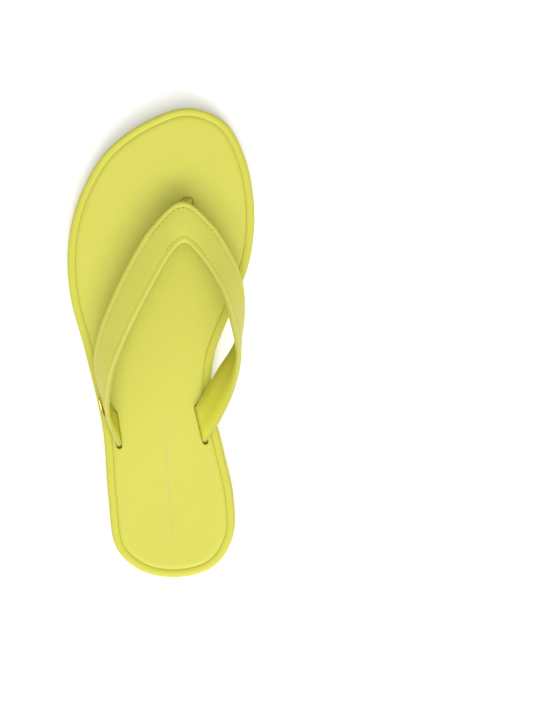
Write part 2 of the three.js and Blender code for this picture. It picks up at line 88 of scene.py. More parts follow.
# the sole's outline, clockwise from the toe: across as a share of its width, along from the heel
SOLE_POINTS = [
    (0.156, 1.0), (0.345, 0.97), (0.452, 0.895), (0.502, 0.79), (0.48, 0.68), (0.378, 0.568),
    (0.285, 0.47), (0.276, 0.375), (0.335, 0.272), (0.39, 0.172), (0.388, 0.085), (0.29, 0.024),
    (0.11, 0.0), (-0.09, 0.011), (-0.235, 0.06), (-0.28, 0.17), (-0.31, 0.315), (-0.405, 0.48),
    (-0.485, 0.6), (-0.497, 0.705), (-0.44, 0.806), (-0.29, 0.909), (-0.06, 0.975),
]
TREAD_DEPTH = 1.2
TREAD_GROOVE = 2.5
TREAD_PITCH = 9
TREAD_BORDER = 8
STRAP_WIDTH = 21
STRAP_THICKNESS = 2.9
CROWN = 0.5  # how far the strap's middle stands proud of its edges
SLOT_SIDE_GAP = 0.5
SLOT_SNUG = 0.12  # the cover closes on the strap tighter than the layers below
SLOT_END_GAPS = (0.6, 1.3)  # from the strap's edge to the slot's end, in front and behind
FOLD_HEIGHT = 2  # where the strap turns down into its slot, above the footbed
# the strap's front edge, as shares of the sole and a height over the footbed, and the way from
# there to its rear edge, in strap widths; the first rear edge stands 1.5 mm further out than the
# CAD's, so that the lining shows beside the slot
STRAP_STATIONS = [
    ((-0.312, 0.397, 4.4), (0.18, -0.6, 0.66)),
    ((-0.343, 0.461, 9), (0.45, -0.42, 0.76)),
    ((-0.315, 0.527, 12.4), (0.67, -0.3, 0.68)),
    ((-0.243, 0.6, 14.8), (0.71, -0.39, 0.59)),
    ((-0.154, 0.672, 15.4), (0.7, -0.48, 0.52)),
    ((-0.044, 0.742, 15.5), (0.55, -0.68, 0.4)),
    ((0.112, 0.796, 15.5), (0.09, -1.07, 0.3)),
    ((0.256, 0.757, 15), (-0.31, -0.84, 0.44)),
    ((0.358, 0.697, 14.5), (-0.44, -0.59, 0.64)),
    ((0.427, 0.632, 14), (-0.45, -0.36, 0.79)),
    ((0.438, 0.564, 12.6), (-0.26, -0.27, 0.91)),
    ((0.405, 0.5, 9.8), (0.07, -0.36, 0.9)),
    ((0.317, 0.447, 6.4), (0.34, -0.6, 0.66)),
    ((0.24, 0.399, 3.4), (0.38, -0.76, 0.42)),
]
APEX = 7 / 15  # the share along the strap where its front comes to a point
LATERAL_SLOT = {"side": -1, "start": 0.353, "reach": 0.905, "web": 1.4}
MEDIAL_SLOT = {"side": 1, "start": 0.366, "reach": 0.95, "web": 1.9}
BAND_WIDTH = 5.9  # the finished band, pressed flatter than its plain section
BAND_DEPTH = 4.0
POST_SNUG = 0.14  # the cover closes on the band
POST_FOOT = np.array([0.144 * BALL_WIDTH, (0.801 - 0.5) * SOLE_LENGTH])
POST_SEAT = 0.24  # share of the strap's width, from its front edge

# ---- Sizes of this model's own ----

LAYER_GAP = 0.02  # left between two pieces that lie on each other
# spans behind and ahead of the flex line, given to bend for each piece
SOLE_BEND = (-20, 20)
STRAP_BEND = (-56, 12)
# rings of points, in millimetres from the footbed's edge and from its holes
EDGE_INSETS = (0.12, 0.35, 0.7, 1.2, 2.0, 3.2)
HOLE_RINGS = (0.12, 0.35, 0.7, 1.2, 2.0)
FIELD_GAP = 1.2  # from the last ring to the even field
PLAN_STEP = 2.6
ROW_STEP = 0.87 * PLAN_STEP  # the height of an equal-sided triangle
SLOT_DEPTH_ROWS = 7  # points of the strap's edge below each fold, with the fold
STRAP_ROWS = 241
OUTER_SEAM = (APEX - 0.08, APEX + 0.11)  # where the outer stitches run along the strap
NOTCH_SEAM = (APEX - 0.07, APEX + 0.085)
OUTER_SEAM_INSET = 3.5  # from the front edge
NOTCH_SEAM_INSET = 3.4  # from the rear edge
UPPER_TOP = 1.45  # the upper's face above the middle of the strap

# ---- Curves and meshes ----


def smoothstep(low, high, value):
    """0 at low and 1 at high, with no slope at either: three times the square less twice the cube."""
    t = np.clip((value - low) / (high - low), 0, 1)
    return t * t * (3 - 2 * t)


def unit(vectors):
    """The same directions with length one."""
    return vectors / np.linalg.norm(vectors, axis=-1, keepdims=True)


def catmull_rom(knots, t, closed=False, centripetal=False):
    """Points on a Catmull-Rom curve: on each span, the cubic with the knots at its ends and end
    tangents from the neighbouring knots. t runs from 0 to 1 over all the spans."""
    knots = np.asarray(knots, float)
    if closed:
        ring = np.vstack([knots[-1:], knots, knots[:2]])
    else:
        ring = np.vstack([2 * knots[0] - knots[1], knots, 2 * knots[-1] - knots[-2]])
    spans = len(ring) - 3
    place = np.clip(np.atleast_1d(t), 0, 1) * spans
    span = np.minimum(place.astype(int), spans - 1)
    u = (place - span)[:, None]
    p = [ring[span + k] for k in range(4)]
    if centripetal:
        d = [np.linalg.norm(p[k + 1] - p[k], axis=1, keepdims=True) ** 0.5 for k in range(3)]
    else:
        d = [1.0, 1.0, 1.0]
    out = d[1] * ((p[1] - p[0]) / d[0] - (p[2] - p[0]) / (d[0] + d[1]) + (p[2] - p[1]) / d[1])
    into = d[1] * ((p[2] - p[1]) / d[1] - (p[3] - p[1]) / (d[1] + d[2]) + (p[3] - p[2]) / d[2])
    cubic = 2 * p[1] - 2 * p[2] + out + into
    square = -3 * p[1] + 3 * p[2] - 2 * out - into
    return ((cubic * u + square) * u + out) * u + p[1]


def evenly(points, count):
    """The same open line with count points, evenly spaced along it."""
    steps = np.linalg.norm(np.diff(points, axis=0), axis=1)
    along = np.concatenate([[0], np.cumsum(steps)])
    places = np.linspace(0, along[-1], count)
    return np.stack([np.interp(places, along, points[:, k]) for k in range(points.shape[1])], 1)


def full_turn(count):
    """Angles evenly round a full turn."""
    return np.linspace(0, 2 * math.pi, count + 1)[:-1]


def super_ellipse(half_width, half_depth, count, power=0.78):
    """A rounded-oblong ring: cosine and sine raised to a power below 1, which squares its corners."""
    cos, sin = np.cos(full_turn(count)), np.sin(full_turn(count))
    x = half_width * np.sign(cos) * np.abs(cos) ** power
    y = half_depth * np.sign(sin) * np.abs(sin) ** power
    return x, y


def signed_volume(points, quads, triangles):
    """Six times the volume that the faces enclose, positive when they point outwards."""
    faces = [triangles, quads[:, [0, 1, 2]], quads[:, [0, 2, 3]]]
    corners = points[np.concatenate(faces)]
    return np.einsum("ij,ij->", corners[:, 0], np.cross(corners[:, 1], corners[:, 2]))


def make_piece(name, points, quads=None, triangles=None, smooth=True):
    """A mesh object from millimetre points and index faces, turned so that its faces point out."""
    quads = np.zeros((0, 4), int) if quads is None else np.asarray(quads, int)
    triangles = np.zeros((0, 3), int) if triangles is None else np.asarray(triangles, int)
    if signed_volume(points, quads, triangles) < 0:
        quads, triangles = quads[:, ::-1], triangles[:, ::-1]
    mesh = bpy.data.meshes.new(name)
    mesh.from_pydata((points * MM).tolist(), [], quads.tolist() + triangles.tolist())
    mesh.polygons.foreach_set("use_smooth", np.full(len(mesh.polygons), smooth))
    mesh.update()
    piece = bpy.data.objects.new(name, mesh)
    bpy.context.scene.collection.objects.link(piece)
    return piece


def ring_quads(rows, around):
    """Index quads between rings of points that follow each other, each ring closed on itself."""
    r, c = np.meshgrid(np.arange(rows - 1), np.arange(around), indexing="ij")
    here, below = r.ravel() * around, (r.ravel() + 1) * around
    c, c2 = c.ravel(), (c.ravel() + 1) % around
    return np.stack([here + c, here + c2, below + c2, below + c], 1)


def swept(name, rings):
    """A closed bar through an array of rings (ring, place round it, xyz), with a fan at each end."""
    return small_copies(name, rings[None], np.stack([rings[0].mean(0), rings[-1].mean(0)])[None])


def fan(first, around, tip, outward):
    """Triangles from a ring of points to one point."""
    i = first + np.arange(around)
    j = first + (np.arange(around) + 1) % around
    pair = [i, j] if outward else [j, i]
    return np.column_stack([*pair, np.full(around, tip)])


def small_copies(name, rings, tips, smooth=True):
    """One mesh of many small closed shapes. rings is (copy, ring, place round it, xyz), and tips
    is (copy, 2, xyz), the points that close the first and the last ring."""
    count, rows, around = rings.shape[:3]
    points = np.concatenate([rings.reshape(count, -1, 3), tips], axis=1)
    last = (rows - 1) * around
    first_tip = rows * around
    caps = np.vstack([fan(0, around, first_tip, False), fan(last, around, first_tip + 1, True)])
    shift = (np.arange(count) * points.shape[1])[:, None, None]
    quads = (ring_quads(rows, around) + shift).reshape(-1, 4)
    return make_piece(name, points.reshape(-1, 3), quads, (caps + shift).reshape(-1, 3), smooth)


# ---- The sole's plan ----


def fine_outline():
    """The sole's edge as a fine closed line, clockwise from the toe, scaled to the CAD's box."""
    knots = np.array(SOLE_POINTS) * (BALL_WIDTH, SOLE_LENGTH)
    line = catmull_rom(knots, np.linspace(0, 1, 4001)[:-1], closed=True, centripetal=True)
    low, high = line.min(0), line.max(0)
    return (line - (low + high) / 2) * (sole_high[:2] - sole_low[:2]) / (high - low)


FINE_OUTLINE = fine_outline()
# the toe and heel arcs of the outline end at these four places, in shares of the sole
CORNERS = [(0.44, 0.9), (0.37, 0.07), (-0.245, 0.07), (-0.34, 0.88)]


def outline_ring(long, wide):
    """The outline as a ring of 2 * (long + wide) points: big-toe side, heel, outer side, toe."""
    spots = np.array(CORNERS) * (BALL_WIDTH, SOLE_LENGTH) - (0, SOLE_LENGTH / 2)
    at = [int(np.argmin(np.linalg.norm(FINE_OUTLINE - s, axis=1))) for s in spots]
    arcs = []
    for k, count in enumerate([long, wide, long, wide]):
        begin, stop = at[k], at[(k + 1) % 4]
        stop += len(FINE_OUTLINE) * (stop <= begin)
        arc = FINE_OUTLINE[np.arange(begin, stop + 1) % len(FINE_OUTLINE)]
        arcs.append(evenly(arc, count + 1)[:-1])
    return np.concatenate(arcs)


def inset(ring, distance):
    """A clockwise ring moved inwards, square to its own direction at each point."""
    along = unit(np.roll(ring, -1, 0) - np.roll(ring, 1, 0))
    return ring + distance * np.stack([along[:, 1], -along[:, 0]], 1)


def coons_patch(ring, long, wide):
    """Points inside a ring, in rows from toe to heel: the sum of the two ways to blend opposite
    sides, less the blend of the four corners."""
    inner = ring[: long + 1]
    heel = ring[long : long + wide + 1]
    outer = ring[long + wide : 2 * long + wide + 1][::-1]
    toe = np.vstack([ring[2 * long + wide :], ring[:1]])[::-1]
    r = np.linspace(0, 1, long + 1)[:, None, None]
    s = np.linspace(0, 1, wide + 1)[None, :, None]
    sides = (1 - s) * inner[:, None] + s * outer[:, None]
    ends = (1 - r) * toe[None] + r * heel[None]
    corners = (1 - r) * ((1 - s) * inner[0] + s * outer[0]) + r * ((1 - s) * inner[-1] + s * outer[-1])
    return (sides + ends - corners)[1:-1, 1:-1].reshape(-1, 2)


def patch_indices(long, wide, first_of_ring, first_inside):
    """Vertex numbers of a patch whose border is a ring that is already in the mesh."""
    index = np.zeros((long + 1, wide + 1), int)
    n = 2 * (long + wide)
    ring = first_of_ring + np.arange(n)
    index[:, 0] = ring[: long + 1]
    index[long, :] = ring[long : long + wide + 1]
    index[:, wide] = ring[long + wide : 2 * long + wide + 1][::-1]
    index[0, :] = np.concatenate([ring[2 * long + wide :], ring[:1]])[::-1]
    inside = (long - 1) * (wide - 1)
    index[1:-1, 1:-1] = (first_inside + np.arange(inside)).reshape(long - 1, wide - 1)
    return index


def patch_quads(index):
    """Index quads of a patch from its grid of vertex numbers."""
    return np.stack([index[:-1, :-1], index[:-1, 1:], index[1:, 1:], index[1:, :-1]], -1).reshape(-1, 4)


def moulded_sole(name, profile, below, above, long=320, wide=76):
    """A closed sole layer: rings of (inset, height) from its underside round its edge to its top,
    with the inside of the first and last ring filled by patches of the given heights."""
    ring = outline_ring(long, wide)
    rings = [np.column_stack([inset(ring, d), np.full(len(ring), z)]) for d, z in profile]
    count = len(ring)
    lower = coons_patch(rings[0][:, :2], long, wide)
    upper = coons_patch(rings[-1][:, :2], long, wide)
    filled = [np.column_stack([lower, below(lower)]), np.column_stack([upper, above(upper)])]
    points = np.vstack([*rings, *filled])
    body = ring_quads(len(rings), count)
    first_inside = len(rings) * count
    low = patch_quads(patch_indices(long, wide, 0, first_inside))
    high = patch_quads(patch_indices(long, wide, (len(rings) - 1) * count, first_inside + len(lower)))
    return make_piece(name, points, np.vstack([body, low, high[:, ::-1]]))


def level(height):
    """The height function of a flat face."""
    return lambda plan: np.full(len(plan), height)


def distance_to(points, loop):
    """Distance from each point to the nearest side of a closed line, a block of points at a time."""
    side = np.roll(loop, -1, 0) - loop
    length = (side**2).sum(1)
    blocks = []
    for block in np.array_split(points, len(points) // 256 + 1):
        away = block[:, None] - loop[None]
        share = np.clip((away * side).sum(2) / length, 0, 1)
        blocks.append(np.linalg.norm(away - share[:, :, None] * side, axis=2).min(1))
    return np.concatenate(blocks)


def inside(points, polygon):
    """Whether each point lies in a polygon, by counting the edges that a ray crosses."""
    a, b = polygon, np.roll(polygon, -1, 0)
    x, y = points[:, :1], points[:, 1:]
    spans = (a[:, 1] > y) != (b[:, 1] > y)
    rise = np.where(b[:, 1] == a[:, 1], 1, b[:, 1] - a[:, 1])
    crossing = x < (b[:, 0] - a[:, 0]) * (y - a[:, 1]) / rise + a[:, 0]
    return (spans & crossing).sum(1) % 2 == 1


# ---- The strap's middle surface ----


def edge_at(side, y):
    """How far across the sole's edge is at one place along it."""
    a, b = FINE_OUTLINE, np.roll(FINE_OUTLINE, -1, 0)
    hit = (a[:, 1] - y) * (b[:, 1] - y) <= 0
    across = a[hit, 0] + (b[hit, 0] - a[hit, 0]) * (y - a[hit, 1]) / (b[hit, 1] - a[hit, 1])
    return across.max() if side > 0 else across.min()


def slot_corners(side, start, reach, web):
    """The front and rear corner of a strap end above its slot, a fixed way in from the edge."""
    inwards = RIM_WIDTH + GAP + web + SLOT_SIDE_GAP + STRAP_THICKNESS / 2
    front = (start - 0.5) * SOLE_LENGTH
    ys = (front, front - reach * STRAP_WIDTH)
    return [np.array([edge_at(side, y) - side * inwards, y, FOOTBED + FOLD_HEIGHT]) for y in ys]


def station_edges():
    """The points that the strap's front and rear edges pass through, from slot to slot."""
    fronts = np.array([s[0] for s in STRAP_STATIONS]) * (BALL_WIDTH, SOLE_LENGTH, 1)
    fronts += (0, -SOLE_LENGTH / 2, FOOTBED)
    rears = fronts + STRAP_WIDTH * np.array([s[1] for s in STRAP_STATIONS])
    lateral, medial = slot_corners(**LATERAL_SLOT), slot_corners(**MEDIAL_SLOT)
    return np.vstack([lateral[0], fronts, medial[0]]), np.vstack([lateral[1], rears, medial[1]])


FRONT_KNOTS, REAR_KNOTS = station_edges()


def strap_edges(along):
    """The front and rear edge at shares along the strap."""
    return catmull_rom(FRONT_KNOTS, along), catmull_rom(REAR_KNOTS, along)


def strap_at(along, across_mm, height, from_rear=False):
    """Points on or over the strap: a share along it, millimetres in from one edge, and a height
    along the surface's own normal above the middle of its thickness."""
    along, across_mm, height = np.broadcast_arrays(np.atleast_1d(along), across_mm, height)
    step = 0.002
    front, rear = strap_edges(along)
    width = np.linalg.norm(rear - front, axis=1)
    share = (across_mm / width)[:, None]
    share = 1 - share if from_rear else share
    ahead, behind = strap_edges(along + step), strap_edges(along - step)
    tangent = (ahead[0] - behind[0]) * (1 - share) + (ahead[1] - behind[1]) * share
    normal = unit(np.cross(rear - front, tangent))
    crown = CROWN * 4 * share * (1 - share)
    return front + (rear - front) * share + normal * (height[:, None] + crown)


def strap_frame(along, across_mm, height, from_rear):
    """Points over the strap, as strap_at gives them, and the strap's normal at each."""
    points = strap_at(along, across_mm, height, from_rear)
    return points, unit(strap_at(along, across_mm, height + 1, from_rear) - points)


def strap_scale(share, down, step):
    """The strap's width at one place, and how many millimetres its whole length would measure if
    it ran as it does there."""
    front, rear = strap_edges(np.array([share]))
    width = float(np.linalg.norm(rear - front))
    near = strap_at([share - step, share + step], down * width, 0)
    return width, np.linalg.norm(near[1] - near[0]) / (2 * step)


def strap_rows():
    """The front and rear edge of the strap's middle as two lines of points: up out of one slot,
    along the route, and down into the other. The rows at the two folds are moved three times half
    way to the middle of their neighbours, which rounds the folds."""
    along = np.linspace(0, 1, STRAP_ROWS)
    front, rear = strap_edges(along)

    def with_ends(edge):
        heights = np.linspace(BOARD_BOTTOM + 0.1, edge[0, 2], SLOT_DEPTH_ROWS)[:-1]
        first = np.column_stack([np.tile(edge[0, :2], (len(heights), 1)), heights])
        last = np.column_stack([np.tile(edge[-1, :2], (len(heights), 1)), heights])[::-1]
        return np.vstack([first, edge, last])

    def rounded(edge):
        line = with_ends(edge)
        near_fold = np.zeros(len(line))
        near_fold[3:12] = near_fold[-12:-3] = 0.5
        for _ in range(3):
            middle = (np.roll(line, 1, 0) + np.roll(line, -1, 0)) / 2
            line = line + (middle - line) * near_fold[:, None]
        return line

    return rounded(front), rounded(rear)


def strap_ply(name, profile):
    """One ply of the strap: a closed profile carried along it. Each profile point gives an edge
    (0 front, 1 rear, or between), millimetres off that edge, and a height above the middle. In the
    slots the ply is flat and its upper side is pressed to three quarters."""
    front, rear = strap_rows()
    share, off, height = (np.array(column, float)[None, :, None] for column in zip(*profile))
    width = np.linalg.norm(rear - front, axis=1)[:, None, None]
    across = share + off / width
    run = np.gradient(front, axis=0)[:, None], np.gradient(rear, axis=0)[:, None]
    tangent = run[0] * (1 - across) + run[1] * across
    span = (rear - front)[:, None]
    normal = unit(np.cross(np.broadcast_to(span, tangent.shape), tangent))
    fold = FOOTBED + FOLD_HEIGHT
    lifted = smoothstep(fold, fold + 8, front[:, 2])[:, None, None]
    crown = CROWN * lifted * 4 * across * (1 - across)
    height = height * np.where(height > 0, 0.75 + 0.25 * lifted, 1)
    points = front[:, None] + span * across + normal * (height + crown)
    return swept(name, points)


# ---- Sole pieces ----


def bend(piece, behind, ahead):
    """Bakes a piece's place into its mesh; it does not bend the piece or move it to another body.
    behind and ahead are not used."""
    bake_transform(piece)


def tread_height(plan):
    """Straight grooves across the underside, one pitch apart and even on both sides of the flex
    line: a smooth step of the distance from the nearest groove's middle sets the depth, and another
    ends the grooves at the border."""
    from_middle = np.abs((plan[:, 1] - FLEX_Y) % TREAD_PITCH - TREAD_PITCH / 2)
    groove = 1 - smoothstep(TREAD_GROOVE / 2 - 0.45, TREAD_GROOVE / 2 + 0.25, from_middle)
    border = smoothstep(TREAD_BORDER, TREAD_BORDER + 1.2, distance_to(plan, FINE_OUTLINE[::8]))
    return TREAD_DEPTH * groove * border


def outsole():
    """The rubber: rounded under its edge, and bevelled a little where the foam begins."""
    top = OUTSOLE_TOP - LAYER_GAP
    profile = [
        (5, 0), (1.5, 0), (0.8, 0.1), (0.3, 0.4), (0.05, 0.9), (0, 1.6), (0, 3.2), (0.1, 3.6), (0.35, 3.9),
        (0.8, top), (5, top),
    ]
    return moulded_sole("outsole", profile, tread_height, level(top))


def plan_box(node):
    """The middle and the half size of a CAD node, seen in plan."""
    low, high = node_box(node)
    return (low[:2] + high[:2]) / 2, (high[:2] - low[:2]) / 2


def recess_height(plan):
    """The tray's floor, sunk under the strap's two anchor tabs and the toe post's washer: each
    recess slopes up from 0.4 to 1.6 mm outside the part that lies in it."""
    outside = []
    for node in ("lateral_anchor_tab", "medial_anchor_tab"):
        middle, half = plan_box(node)
        outside.append((np.abs(plan - middle) - half).max(1))
    middle, half = plan_box("toe_post_washer")
    outside.append(np.linalg.norm(plan - middle, axis=1) - half[0])
    sunk = 1 - smoothstep(0.4, 1.6, np.min(outside, axis=0))
    return BOARD_BOTTOM - LAYER_GAP - (BOARD_BOTTOM - RECESS_FLOOR) * sunk


def midsole():
    """The foam tray: a plain wall with one fine line moulded in it, and a domed rim."""
    top, floor = FOOTBED, BOARD_BOTTOM - LAYER_GAP
    profile = [
        (6, OUTSOLE_TOP), (1.2, OUTSOLE_TOP), (0.5, 4.05), (0.15, 4.35), (0, 4.9), (0, 7), (0, 10),
        (0, 12.4), (0.05, 12.7), (0.28, 12.95), (0.28, 13.2), (0.05, 13.45), (0, 13.8), (0, 15.6),
        (0.1, top - 1.4), (0.4, top - 0.75), (0.9, top - 0.3), (1.6, top - 0.05), (2.3, top),
        (3.0, top - 0.08), (3.55, top - 0.2), (3.95, top - 0.36), (4.22, top - 0.52),
        (RIM_WIDTH - 0.01, top - 0.72),
        (RIM_WIDTH, BOARD_BOTTOM + 0.3), (RIM_WIDTH + 0.2, floor), (6, floor),
    ]
    return moulded_sole("midsole_tray", profile, level(OUTSOLE_TOP), recess_height)


# ---- Footbed: three layers over one pierced plan ----


def stadium(front, rear, width, count=13):
    """An anticlockwise outline with straight sides and half-round ends, from front to rear."""
    way = unit(rear - front)
    side = np.array([way[1], -way[0]])
    turn = np.linspace(-math.pi / 2, math.pi / 2, count)[:, None]
    arc = way * np.cos(turn) + side * np.sin(turn)
    caps = [rear + width / 2 * arc[::-1], front - width / 2 * arc[::-1]]
    body = np.linspace(0, 1, count)[1:-1, None]
    links = [caps[k][-1] + (caps[1 - k][0] - caps[k][-1]) * body for k in (0, 1)]
    return np.vstack([caps[0], links[0], caps[1], links[1]])


def slot_outline(grow, slot):
    """The cover's slot round one strap end, grown outwards by a distance."""
    front, rear = (corner[:2] for corner in slot_corners(**slot))
    width = STRAP_THICKNESS + 2 * SLOT_SNUG
    ahead, behind = (gap - width / 2 for gap in SLOT_END_GAPS)
    way = unit(rear - front)
    return stadium(front - way * ahead, rear + way * behind, width + 2 * grow)


def toe_hole_outline(grow):
    """The cover's hole round the toe post's band, grown outwards by a distance."""
    x, y = super_ellipse(BAND_WIDTH / 2 + POST_SNUG + grow, BAND_DEPTH / 2 + POST_SNUG + grow, 48)
    return POST_FOOT + np.column_stack([x, y])


HOLES = [
    lambda grow: slot_outline(grow, LATERAL_SLOT),
    lambda grow: slot_outline(grow, MEDIAL_SLOT),
    toe_hole_outline,
]


def field_points(edge):
    """Rows of points a step apart, every other row shifted by half a step."""
    low, high = edge.min(0), edge.max(0)
    xs, ys = np.meshgrid(np.arange(low[0], high[0], PLAN_STEP), np.arange(low[1], high[1], ROW_STEP))
    xs = xs + (np.arange(len(xs)) % 2)[:, None] * PLAN_STEP / 2
    return np.column_stack([xs.ravel(), ys.ravel()])


def pierced_plan():
    """The footbed's plan as triangles. Rings of points follow its edge and each hole, each ring
    only where it is nearer its own border than any other. An even field of points fills the rest,
    and a Delaunay triangulation joins them."""
    edge = inset(outline_ring(150, 50), RIM_WIDTH + LAYER_GAP)
    holes = [hole(0) for hole in HOLES]  # anticlockwise, and the edge is clockwise
    points = [edge, *holes]
    for d in EDGE_INSETS:
        ring = inset(edge, d)
        to_holes = np.min([distance_to(ring, h) for h in holes], axis=0)
        clear = (to_holes > d) & ~np.any([inside(ring, h) for h in holes], axis=0)
        points.append(ring[clear])
    for hole in HOLES:
        for d in HOLE_RINGS:
            ring = hole(d)
            points.append(ring[(distance_to(ring, edge) > d) & inside(ring, edge)])
    field = field_points(edge)
    clear = inside(field, edge) & (distance_to(field, edge) > EDGE_INSETS[-1] + FIELD_GAP)
    for h in holes:
        clear &= ~inside(field, h) & (distance_to(field, h) > HOLE_RINGS[-1] + FIELD_GAP)
    plan = np.vstack([*points, field[clear]])
    borders, loops, first = [], [], 0
    for loop in [edge, *holes]:
        i = first + np.arange(len(loop))
        borders += np.column_stack([i, np.roll(i, -1)]).tolist()
        loops.append(i)
        first += len(loop)
    found = delaunay_2d_cdt([Vector(p) for p in plan.tolist()], borders, [], 0, 1e-5)
    if len(found[0]) != len(plan):
        raise ValueError("the footbed's edge or a hole is crossed")
    triangles = np.array(found[2])
    middles = plan[triangles].mean(1)
    keep = inside(middles, edge)
    for h in holes:
        keep &= ~inside(middles, h)
    return plan, triangles[keep], loops[0], loops[1:]


PLAN, PLAN_TRIANGLES, EDGE_LOOP, HOLE_LOOPS = pierced_plan()
EDGE_GAP = distance_to(PLAN, PLAN[EDGE_LOOP])
HOLE_GAP = np.min([distance_to(PLAN, PLAN[h]) for h in HOLE_LOOPS], axis=0)


def plan_moved_in(distance):
    """The plan with its border moved inwards and a narrow band beside the border squeezed."""
    band = 1.35
    edge = PLAN[EDGE_LOOP]
    inwards = inset(edge, 1) - edge
    nearest = np.linalg.norm(PLAN[:, None] - edge[None], axis=2).argmin(1)
    return PLAN + inwards[nearest] * (distance * np.clip(1 - EDGE_GAP / band, 0, 1))[:, None]


def dish(plan):
    """How far the footbed is pressed in: a bell-shaped hollow under the heel and one under the ball."""
    hollow = np.zeros(len(plan))
    for middle, size, depth in [((5, -88), (24, 34), 0.8), ((2, 40), (32, 34), 0.6)]:
        hollow += depth * np.exp(-(((plan - middle) / size) ** 2).sum(1))
    return hollow


def cover_height(plan, edge_gap, hole_gap):
    """The footbed's top: level less the dish, rolled down at its edge and a little at the holes."""
    roll = 0.6 * (1 - np.clip(edge_gap / 2.2, 0, 1)) ** 2
    lip = 0.3 * (1 - np.clip(hole_gap / 0.8, 0, 1)) ** 2.2
    return FOOTBED - dish(plan) * smoothstep(0, 12, edge_gap) - roll - lip


def footbed_layer(name, top, bottom_plan, bottom, skirt=()):
    """A layer between a top of given heights over the plan and a flat underside, with walls at its
    edge and through its holes. The skirt is a list of extra edge rings of (inset, height)."""
    count = len(PLAN)
    edge = PLAN[EDGE_LOOP]
    rings = [np.column_stack([inset(edge, d), np.full(len(edge), z)]) for d, z in skirt]
    underside = np.column_stack([bottom_plan, np.full(count, bottom)])
    points = np.vstack([np.column_stack(top), underside, *rings])
    steps = [2 * count + k * len(edge) + np.arange(len(edge)) for k in range(len(skirt))]
    down_edge = [EDGE_LOOP, *steps, count + EDGE_LOOP]
    pairs = list(zip(down_edge, down_edge[1:])) + [(hole, count + hole) for hole in HOLE_LOOPS]
    walls = [np.column_stack([a, np.roll(a, -1), np.roll(b, -1), b]) for a, b in pairs]
    faces = np.vstack([PLAN_TRIANGLES, count + PLAN_TRIANGLES[:, ::-1]])
    return make_piece(name, points, np.vstack(walls), faces)


def footbed_pieces():
    """The wrapped cover, the foam inside it and the board under them."""
    wrap = 0.9
    cover = footbed_layer(
        "footbed_cover",
        (PLAN, cover_height(PLAN, EDGE_GAP, HOLE_GAP)),
        plan_moved_in(wrap),
        COVER_BOTTOM - 0.2,
        skirt=[(0, FOAM_BOTTOM + 0.1), (wrap, FOAM_BOTTOM + 0.1)],
    )
    shrunk = plan_moved_in(wrap + 0.15)
    foam_top = level(COVER_BOTTOM - 0.3)(PLAN)
    foam = footbed_layer("footbed_foam", (shrunk, foam_top), shrunk, FOAM_BOTTOM + 0.1)
    board_top = level(FOAM_BOTTOM)(PLAN)
    board = footbed_layer("insole_board", (PLAN, board_top), PLAN, BOARD_BOTTOM)
    return cover, foam, board


def footbed_height_at(plan):
    """The height of the cover's top at places well away from its edge and holes."""
    return FOOTBED - dish(plan) * smoothstep(0, 12, distance_to(plan, PLAN[EDGE_LOOP]))


def foil_marks():
    """A plain row of small foil lozenges along the heel: an eight-point star drawn in between its
    four long points, as three rings, each flatter and narrower than the one below."""
    count, length, width, thickness = 17, 2.5, 1.5, 0.09
    ends = np.array([[2.3, -47.9], [6.2, -105.5]])
    middles = ends[0] + np.linspace(0, 1, count)[:, None] * (ends[1] - ends[0])
    way = unit(ends[1] - ends[0])
    side = np.array([way[1], -way[0]])
    turn = full_turn(8)
    reach = np.where(np.arange(8) % 2 == 0, 1.0, 0.62)
    along, across = reach * np.cos(turn) * length / 2, reach * np.sin(turn) * width / 2
    shape = np.outer(along, way) + np.outer(across, side)
    root = -0.05  # just under the cover's face
    scales, heights = np.array([1, 1, 0.86]), np.array([root, thickness / 2, thickness])
    heights = np.broadcast_to(heights[:, None, None], (3, 8, 1))
    star = np.concatenate([shape * scales[:, None, None], heights], 2)
    centres = np.column_stack([middles, footbed_height_at(middles)])
    tips = centres[:, None] + np.array([[0, 0, root], [0, 0, thickness]])
    return small_copies("foil_marks", centres[:, None, None] + star, tips, smooth=False)


# ---- Strap pieces ----

# Profiles: an edge (0 front, 1 rear, or between), millimetres off it, and a height above the middle.
# The upper has a raised band along both edges and a shallow groove where the seams run. Its edges
# are turned down round the tape and under it, and the lining covers their ends.
UPPER_PROFILE = [
    (0, 0.0, 0.7), (0, 0.07, 1.12), (0, 0.28, 1.42), (0, 0.75, 1.62), (0, 1.5, 1.69), (0, 2.2, 1.64),
    (0, 2.75, 1.5), (0, 3.15, 1.37), (0, 3.5, 1.31), (0, 3.95, 1.37), (0, 4.7, 1.44), (0.35, 0, 1.45),
    (0.5, 0, 1.45), (0.65, 0, 1.45), (1, -4.6, 1.44), (1, -3.9, 1.39), (1, -3.4, 1.33), (1, -2.9, 1.38),
    (1, -2.4, 1.48), (1, -1.7, 1.56), (1, -1.1, 1.55), (1, -0.5, 1.42), (1, -0.12, 1.12), (1, 0.0, 0.7),
    (1, 0.0, 0.0), (1, -0.05, -0.55), (1, -0.25, -0.95), (1, -0.65, -1.1), (1, -2.2, -1.1), (1, -2.2, -0.6),
    (1, -1.0, -0.45), (1, -0.95, 0.2), (1, -1.3, 0.35), (0.66, 0, 0.35), (0.33, 0, 0.35), (0, 1.3, 0.35),
    (0, 0.95, 0.2), (0, 1.0, -0.45), (0, 2.2, -0.6), (0, 2.2, -1.1), (0, 0.65, -1.1), (0, 0.25, -0.95),
    (0, 0.05, -0.55), (0, 0.0, 0.0),
]
TAPE_PROFILE = [
    (0, 3.4, 0.12), (0.5, 0, 0.12), (1, -3.4, 0.12), (1, -3.4, -0.22), (0.5, 0, -0.22), (0, 3.4, -0.22),
]
